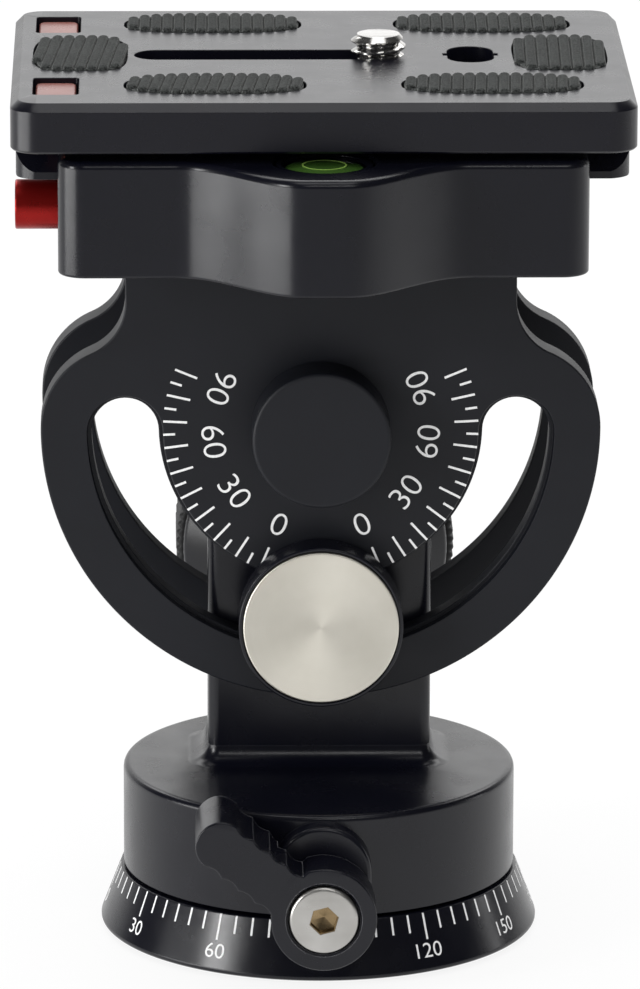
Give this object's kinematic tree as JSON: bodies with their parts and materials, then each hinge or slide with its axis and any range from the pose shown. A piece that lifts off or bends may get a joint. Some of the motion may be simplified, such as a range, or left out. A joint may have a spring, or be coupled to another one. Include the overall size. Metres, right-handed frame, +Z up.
{
  "type": "monopod tilt head",
  "caption": "Monopod tilt head: graduated panning base with a lock lever, slotted arc plates that tilt on a post, and a quick release clamp with its camera plate.",
  "frame": {"origin": "on the pan axis, in the plane of the base's underside, at the mouth of the monopod socket", "axes": "+Z up along the pan axis, -Y towards the scale, bright cap and pan lever, +X right as seen from there"},
  "size_m": [0.0694, 0.0763, 0.1037],
  "materials": {
    "black_anodised": "satin black anodised",
    "charcoal_anodised": "fine matt charcoal anodised, white engraved scales",
    "plate_anodised": "satin black anodised",
    "steel": "machined steel",
    "bright_disc": "radially brushed, warm",
    "chrome": "bright plated",
    "aluminium": "turned, plain",
    "bronze": "plain bearing bronze",
    "sliding_polymer": "sliding polymer",
    "grip_rubber": "ribbed matt rubber",
    "pad_rubber": "ribbed matt rubber",
    "red_anodised": "satin red anodised",
    "level_liquid": "clear green liquid",
    "bubble": "air bubble"
  },
  "bodies": {
    "pan_base": {"base_ring": "black_anodised", "thread_bush": "steel", "pan_spindle": "aluminium", "pan_washer": "sliding_polymer", "base_screw_1": "steel", "base_screw_2": "steel", "base_screw_3": "steel"},
    "pan_housing": {"pan_housing": "black_anodised", "brake_shoe": "bronze", "retaining_screw": "steel", "tilt_bush_front": "bronze", "tilt_bush_rear": "bronze", "friction_washer_front": "sliding_polymer", "friction_washer_rear": "sliding_polymer", "front_cap": "black_anodised", "cap_disc": "bright_disc", "clamp_bolt": "steel", "guide_sleeve_front": "steel", "guide_sleeve_rear": "steel"},
    "pan_lever": {"pan_lever": "black_anodised", "lever_screw": "steel"},
    "tilt_knob": {"thrust_washer": "steel", "tilt_knob_core": "black_anodised", "tilt_knob_grip": "grip_rubber", "tilt_knob_cap": "black_anodised"},
    "tilt_bracket": {"front_plate": "charcoal_anodised", "rear_plate": "charcoal_anodised", "tilt_shaft": "steel", "front_hub_cap": "charcoal_anodised", "rear_hub_cap": "charcoal_anodised", "clamp_body": "black_anodised", "bracket_screw_1": "steel", "bracket_screw_2": "steel", "bracket_screw_3": "steel", "bracket_screw_4": "steel", "jaw_guide_pin_left": "steel", "jaw_guide_pin_right": "steel", "level_cup": "black_anodised", "level_vial": "level_liquid", "level_bubble": "bubble", "button_spring": "steel"},
    "clamp_jaw": {"moving_jaw": "black_anodised", "jaw_spring_left": "steel", "jaw_spring_right": "steel"},
    "clamp_knob": {"clamp_knob_core": "black_anodised", "clamp_knob_grip": "grip_rubber", "clamp_screw": "steel"},
    "safety_button": {"safety_button": "red_anodised"},
    "safety_pin": {"safety_pin": "steel"},
    "quick_plate": {"camera_plate": "plate_anodised", "pad_front_left": "pad_rubber", "pad_rear_left": "pad_rubber", "pad_front_right": "pad_rubber", "pad_rear_right": "pad_rubber", "pad_end_left": "pad_rubber", "pad_end_right": "pad_rubber"},
    "stop_front": {"stop_front": "red_anodised"},
    "stop_rear": {"stop_rear": "red_anodised"},
    "screw_carrier": {"camera_screw_washer": "black_anodised"},
    "camera_screw": {"camera_screw": "chrome"}
  },
  "joints": [
    {"name": "pan_turn", "type": "hinge", "parent": "pan_base", "child": "pan_housing", "pos_m": [0, 0, 0.0074], "axis": [0, 0, 1], "continuous": true},
    {"name": "pan_lever_turn", "type": "hinge", "parent": "pan_housing", "child": "pan_lever", "pos_m": [0, -0.0308, 0.0097], "axis": [0, -1, 0], "range_deg": [0, 38]},
    {"name": "tilt", "type": "hinge", "parent": "pan_housing", "child": "tilt_bracket", "pos_m": [0, 0.0042, 0.0602], "axis": [0, 1, 0], "range_deg": [-90, 90]},
    {"name": "tilt_knob_turn", "type": "hinge", "parent": "pan_housing", "child": "tilt_knob", "pos_m": [0, 0.0161, 0.03805], "axis": [0, 1, 0], "range_deg": [0, 360]},
    {"name": "jaw_slide", "type": "slide", "parent": "tilt_bracket", "child": "clamp_jaw", "axis": [0, 1, 0], "range_m": [0, 0.002]},
    {"name": "clamp_knob_turn", "type": "hinge", "parent": "clamp_jaw", "child": "clamp_knob", "pos_m": [0, 0.0306, 0.0864], "axis": [0, 1, 0], "range_deg": [0, 720]},
    {"name": "safety_button_press", "type": "slide", "parent": "tilt_bracket", "child": "safety_button", "axis": [1, 0, 0], "range_m": [0, 0.0015], "stiffness_N_per_m": 400, "springref_m": -0.003, "deforming": ["button_spring"]},
    {"name": "safety_pin_drop", "type": "slide", "parent": "tilt_bracket", "child": "safety_pin", "axis": [0, 0, -1], "range_m": [0, 0.0013]},
    {"name": "plate_slide", "type": "slide", "parent": "tilt_bracket", "child": "quick_plate", "axis": [1, 0, 0], "range_m": [-0.005, 0.005]},
    {"name": "stop_front_press", "type": "slide", "parent": "quick_plate", "child": "stop_front", "axis": [0, 0, -1], "range_m": [0, 0.0006], "stiffness_N_per_m": 200, "springref_m": -0.003},
    {"name": "stop_rear_press", "type": "slide", "parent": "quick_plate", "child": "stop_rear", "axis": [0, 0, -1], "range_m": [0, 0.0006], "stiffness_N_per_m": 200, "springref_m": -0.003},
    {"name": "camera_screw_slide", "type": "slide", "parent": "quick_plate", "child": "screw_carrier", "axis": [1, 0, 0], "range_m": [-0.0248, 0]},
    {"name": "camera_screw_turn", "type": "hinge", "parent": "screw_carrier", "child": "camera_screw", "pos_m": [0.0066, 0.0042, 0.0959], "axis": [0, 0, 1], "continuous": true}
  ],
  "couplings": [
    {"joint": "clamp_knob_turn", "follows": "jaw_slide", "rad_per_m": 6283},
    {"joint": "safety_pin_drop", "follows": "safety_button_press", "ratio": 0.8666}
  ]
}
